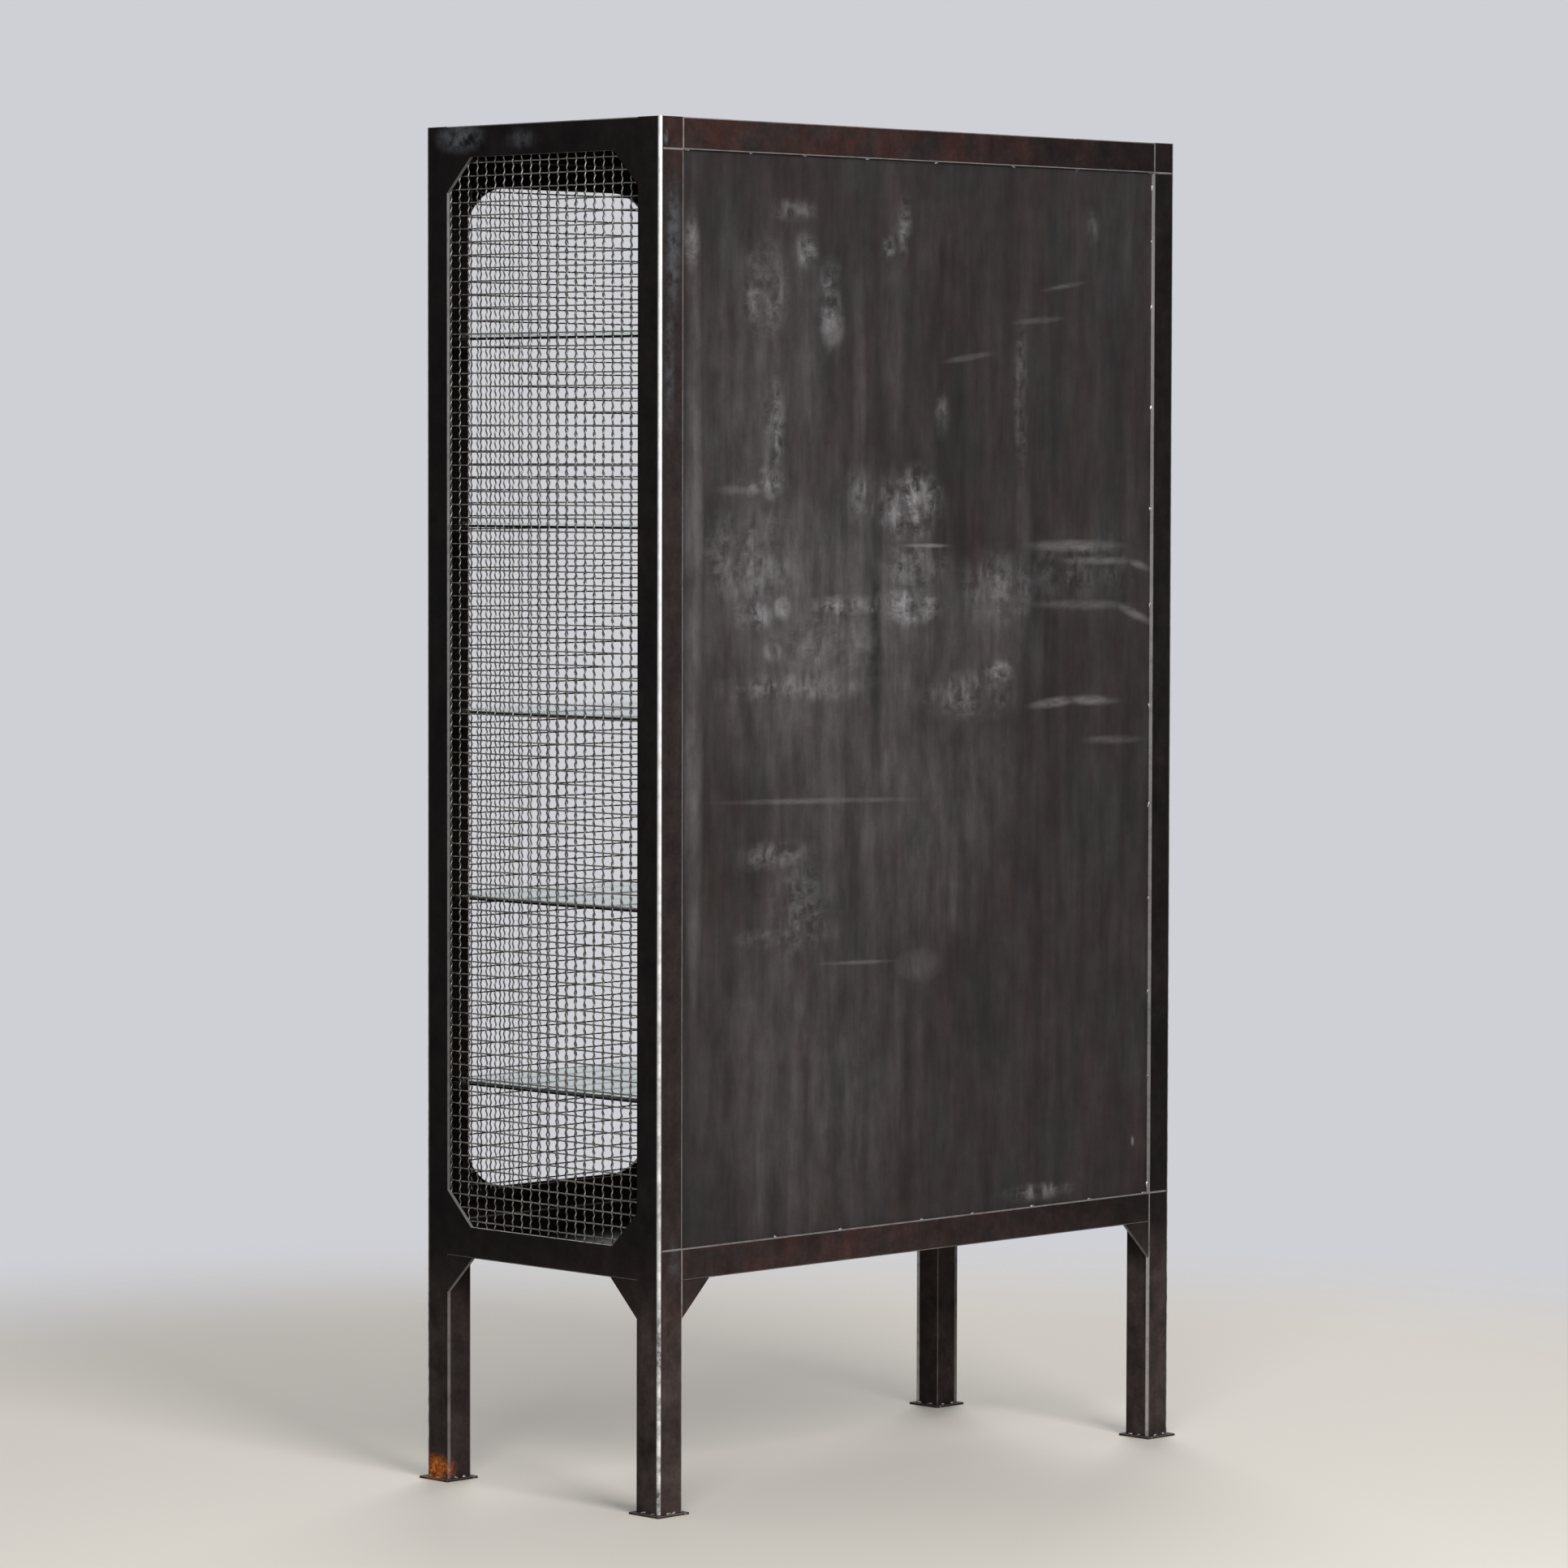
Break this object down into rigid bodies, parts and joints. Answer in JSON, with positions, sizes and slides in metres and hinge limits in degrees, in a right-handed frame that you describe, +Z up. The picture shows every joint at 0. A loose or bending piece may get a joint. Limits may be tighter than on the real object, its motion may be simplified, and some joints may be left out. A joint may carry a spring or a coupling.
{
  "type": "medical cabinet",
  "caption": "Tall steel cabinet on legs with wire mesh sides, two wire mesh doors, a sheet back and glass shelves.",
  "frame": {"origin": "middle of the base of the whole object's box, on the floor under the foot plates", "axes": "+Z up, -Y to the front with the two doors, +X to the right of someone who faces the doors"},
  "size_m": [0.974, 0.482, 1.75],
  "materials": {
    "frame_steel": "flat bars and angles, blackened and waxed, satin",
    "sheet_steel": "blackened sheet steel, waxed, rubbed and scratched",
    "door_steel": "blackened plate steel, waxed, satin",
    "wire": "crimped steel wire, bare, slightly dull",
    "bare_steel": "turned steel, worn bright",
    "weld": "weld metal, ground bright",
    "glass": "clear float glass, green at the edge"
  },
  "bodies": {
    "cabinet": {"post_front_right": "frame_steel", "post_front_left": "frame_steel", "post_back_right": "frame_steel", "post_back_left": "frame_steel", "leg_angles": "frame_steel", "foot_front_right": "frame_steel", "foot_front_left": "frame_steel", "foot_back_right": "frame_steel", "foot_back_left": "frame_steel", "top_rail_front": "frame_steel", "top_rail_back": "frame_steel", "top_rail_right": "frame_steel", "top_rail_left": "frame_steel", "bottom_rail_front": "frame_steel", "bottom_rail_back": "frame_steel", "bottom_rail_right": "frame_steel", "bottom_rail_left": "frame_steel", "leg_gussets": "frame_steel", "side_corner_plates": "frame_steel", "corner_welds": "weld", "back_panel": "sheet_steel", "top_panel": "sheet_steel", "floor_panel": "sheet_steel", "side_mesh_right": "wire", "side_mesh_left": "wire", "side_strips_right": "frame_steel", "side_strips_left": "frame_steel", "shelf_bars_right": "frame_steel", "shelf_bars_left": "frame_steel", "shelf_1": "glass", "shelf_2": "glass", "shelf_3": "glass", "shelf_4": "glass", "shelf_5": "glass", "weld_beads": "weld", "door_stops": "frame_steel", "frame_knuckles_right": "frame_steel", "frame_knuckles_left": "frame_steel", "hinge_pins_right": "bare_steel", "hinge_pins_left": "bare_steel"},
    "door_right": {"door_stiles_right": "door_steel", "door_rails_right": "door_steel", "door_corners_right": "door_steel", "door_mesh_right": "wire", "door_strips_right": "frame_steel", "door_knuckles_right": "frame_steel", "handle_rose": "bare_steel"},
    "door_left": {"door_stiles_left": "door_steel", "door_rails_left": "door_steel", "door_corners_left": "door_steel", "door_mesh_left": "wire", "door_strips_left": "frame_steel", "door_knuckles_left": "frame_steel", "bolt_guides": "frame_steel"},
    "handle": {"handle": "bare_steel", "latch": "frame_steel"},
    "bolt_top": {"bolt_top": "bare_steel"},
    "bolt_bottom": {"bolt_bottom": "bare_steel"}
  },
  "joints": [
    {"name": "door_right_hinge", "type": "hinge", "parent": "cabinet", "child": "door_right", "pos_m": [0.439, -0.2063, 1.0225], "axis": [0, 0, 1], "range_deg": [0, 170]},
    {"name": "door_left_hinge", "type": "hinge", "parent": "cabinet", "child": "door_left", "pos_m": [-0.439, -0.2063, 1.0225], "axis": [0, 0, -1], "range_deg": [0, 170]},
    {"name": "handle_turn", "type": "hinge", "parent": "door_right", "child": "handle", "pos_m": [0.0335, -0.201, 1.01], "axis": [0, -1, 0], "range_deg": [0, 90]},
    {"name": "bolt_top_slide", "type": "slide", "parent": "door_left", "child": "bolt_top", "axis": [0, 0, 1], "range_m": [0, 0.018]},
    {"name": "bolt_bottom_slide", "type": "slide", "parent": "door_left", "child": "bolt_bottom", "axis": [0, 0, -1], "range_m": [0, 0.018]}
  ]
}
